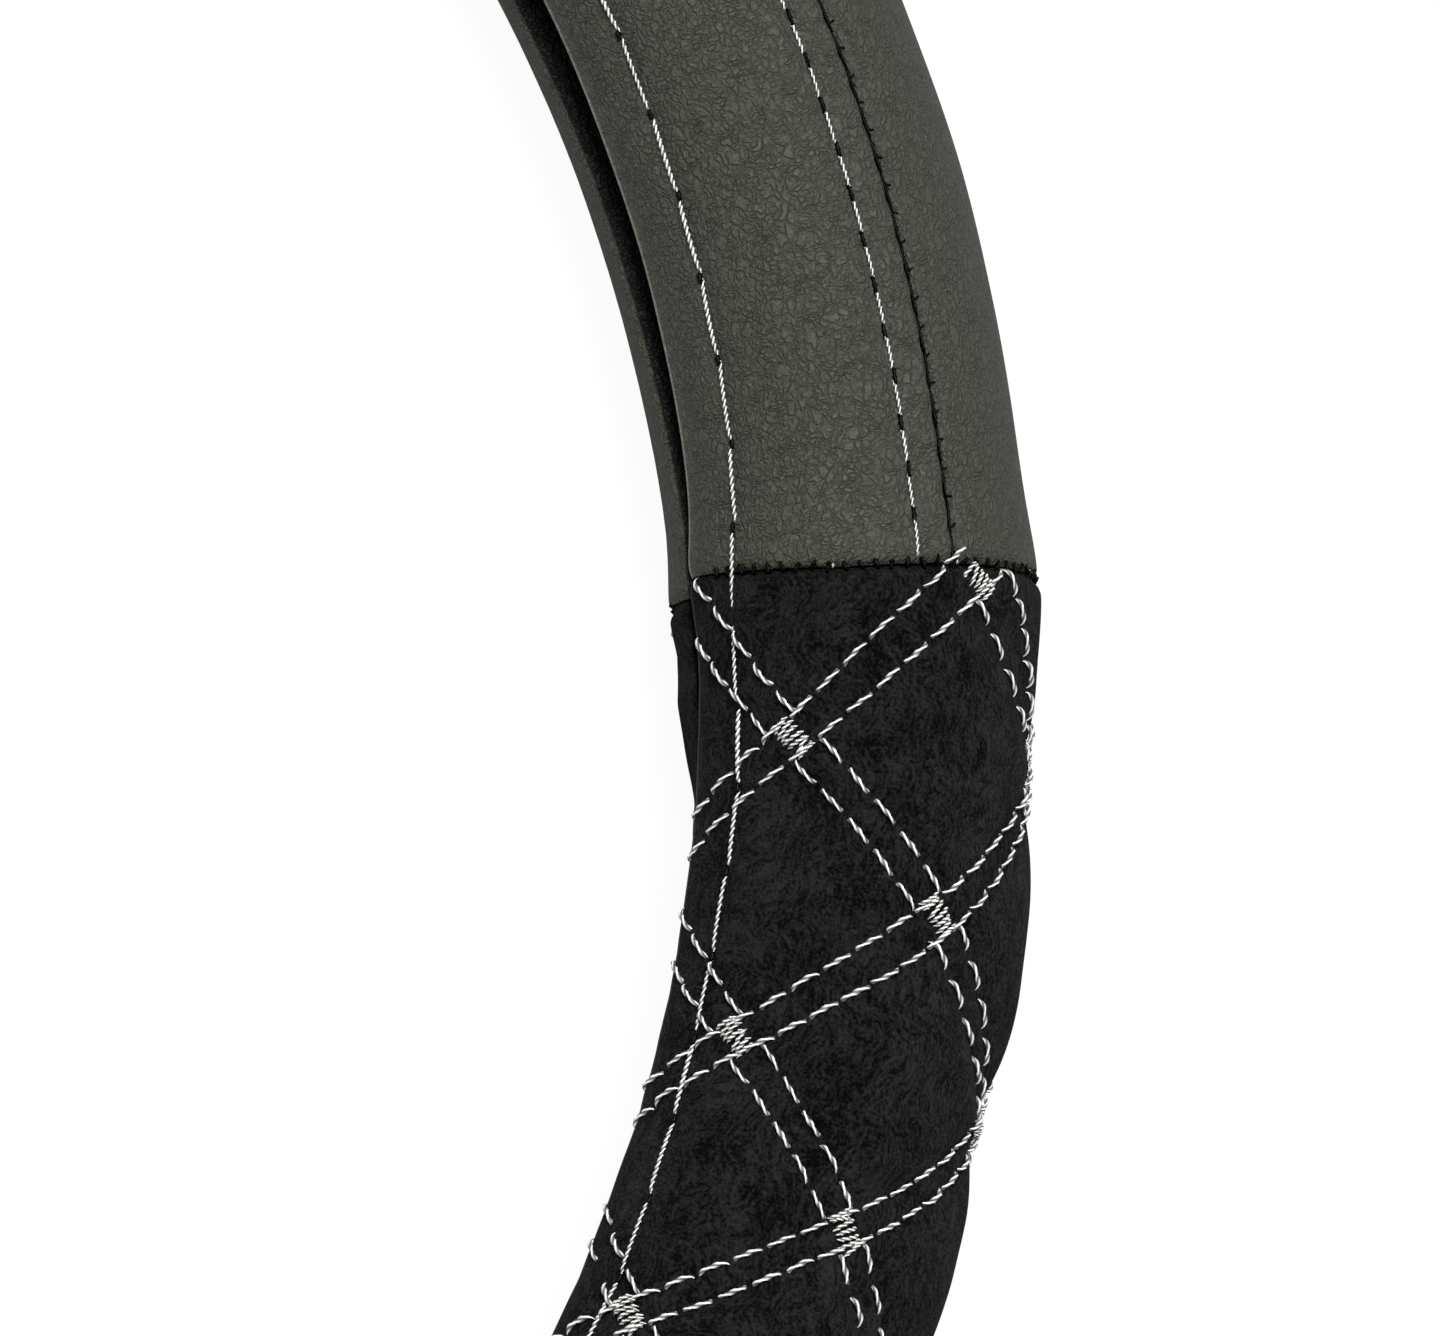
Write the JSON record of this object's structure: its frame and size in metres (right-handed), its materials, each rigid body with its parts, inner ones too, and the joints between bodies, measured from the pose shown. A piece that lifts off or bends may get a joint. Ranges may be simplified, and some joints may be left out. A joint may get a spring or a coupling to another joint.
{
  "type": "steering wheel cover",
  "caption": "Slip-on ring cover for a car steering wheel, with grey leather and black diamond-quilted suede arcs over a rubber liner.",
  "frame": {"origin": "under the ring's centre, on the surface that the cover's rear face lies on", "axes": "+Z along the ring's axis towards its front face, +Y towards the upper leather arc"},
  "size_m": [0.3782, 0.3792, 0.0398],
  "materials": {
    "rubber": "matt black moulded rubber",
    "leather": "satin taupe-grey synthetic leather with a fine crease grain",
    "suede": "black short-pile synthetic suede, quilted in diamonds",
    "silver_thread": "silver-white twisted sewing thread",
    "black_thread": "black sewing thread"
  },
  "bodies": {
    "root": {"rubber_liner_top": "rubber", "rubber_liner_left": "rubber", "rubber_liner_bottom": "rubber", "rubber_liner_right": "rubber", "leather_front_panel_top": "leather", "leather_outer_panel_top": "leather", "topstitch_thread_top": "silver_thread", "face_seam_thread_top": "black_thread", "leather_front_panel_bottom": "leather", "leather_outer_panel_bottom": "leather", "topstitch_thread_bottom": "silver_thread", "face_seam_thread_bottom": "black_thread", "suede_panel_left": "suede", "suede_panel_right": "suede", "hem_thread_front": "silver_thread", "hem_thread_rear": "silver_thread", "cross_seam_thread_1": "black_thread", "cross_seam_thread_2": "black_thread", "cross_seam_thread_3": "black_thread", "cross_seam_thread_4": "black_thread"}
  },
  "joints": []
}
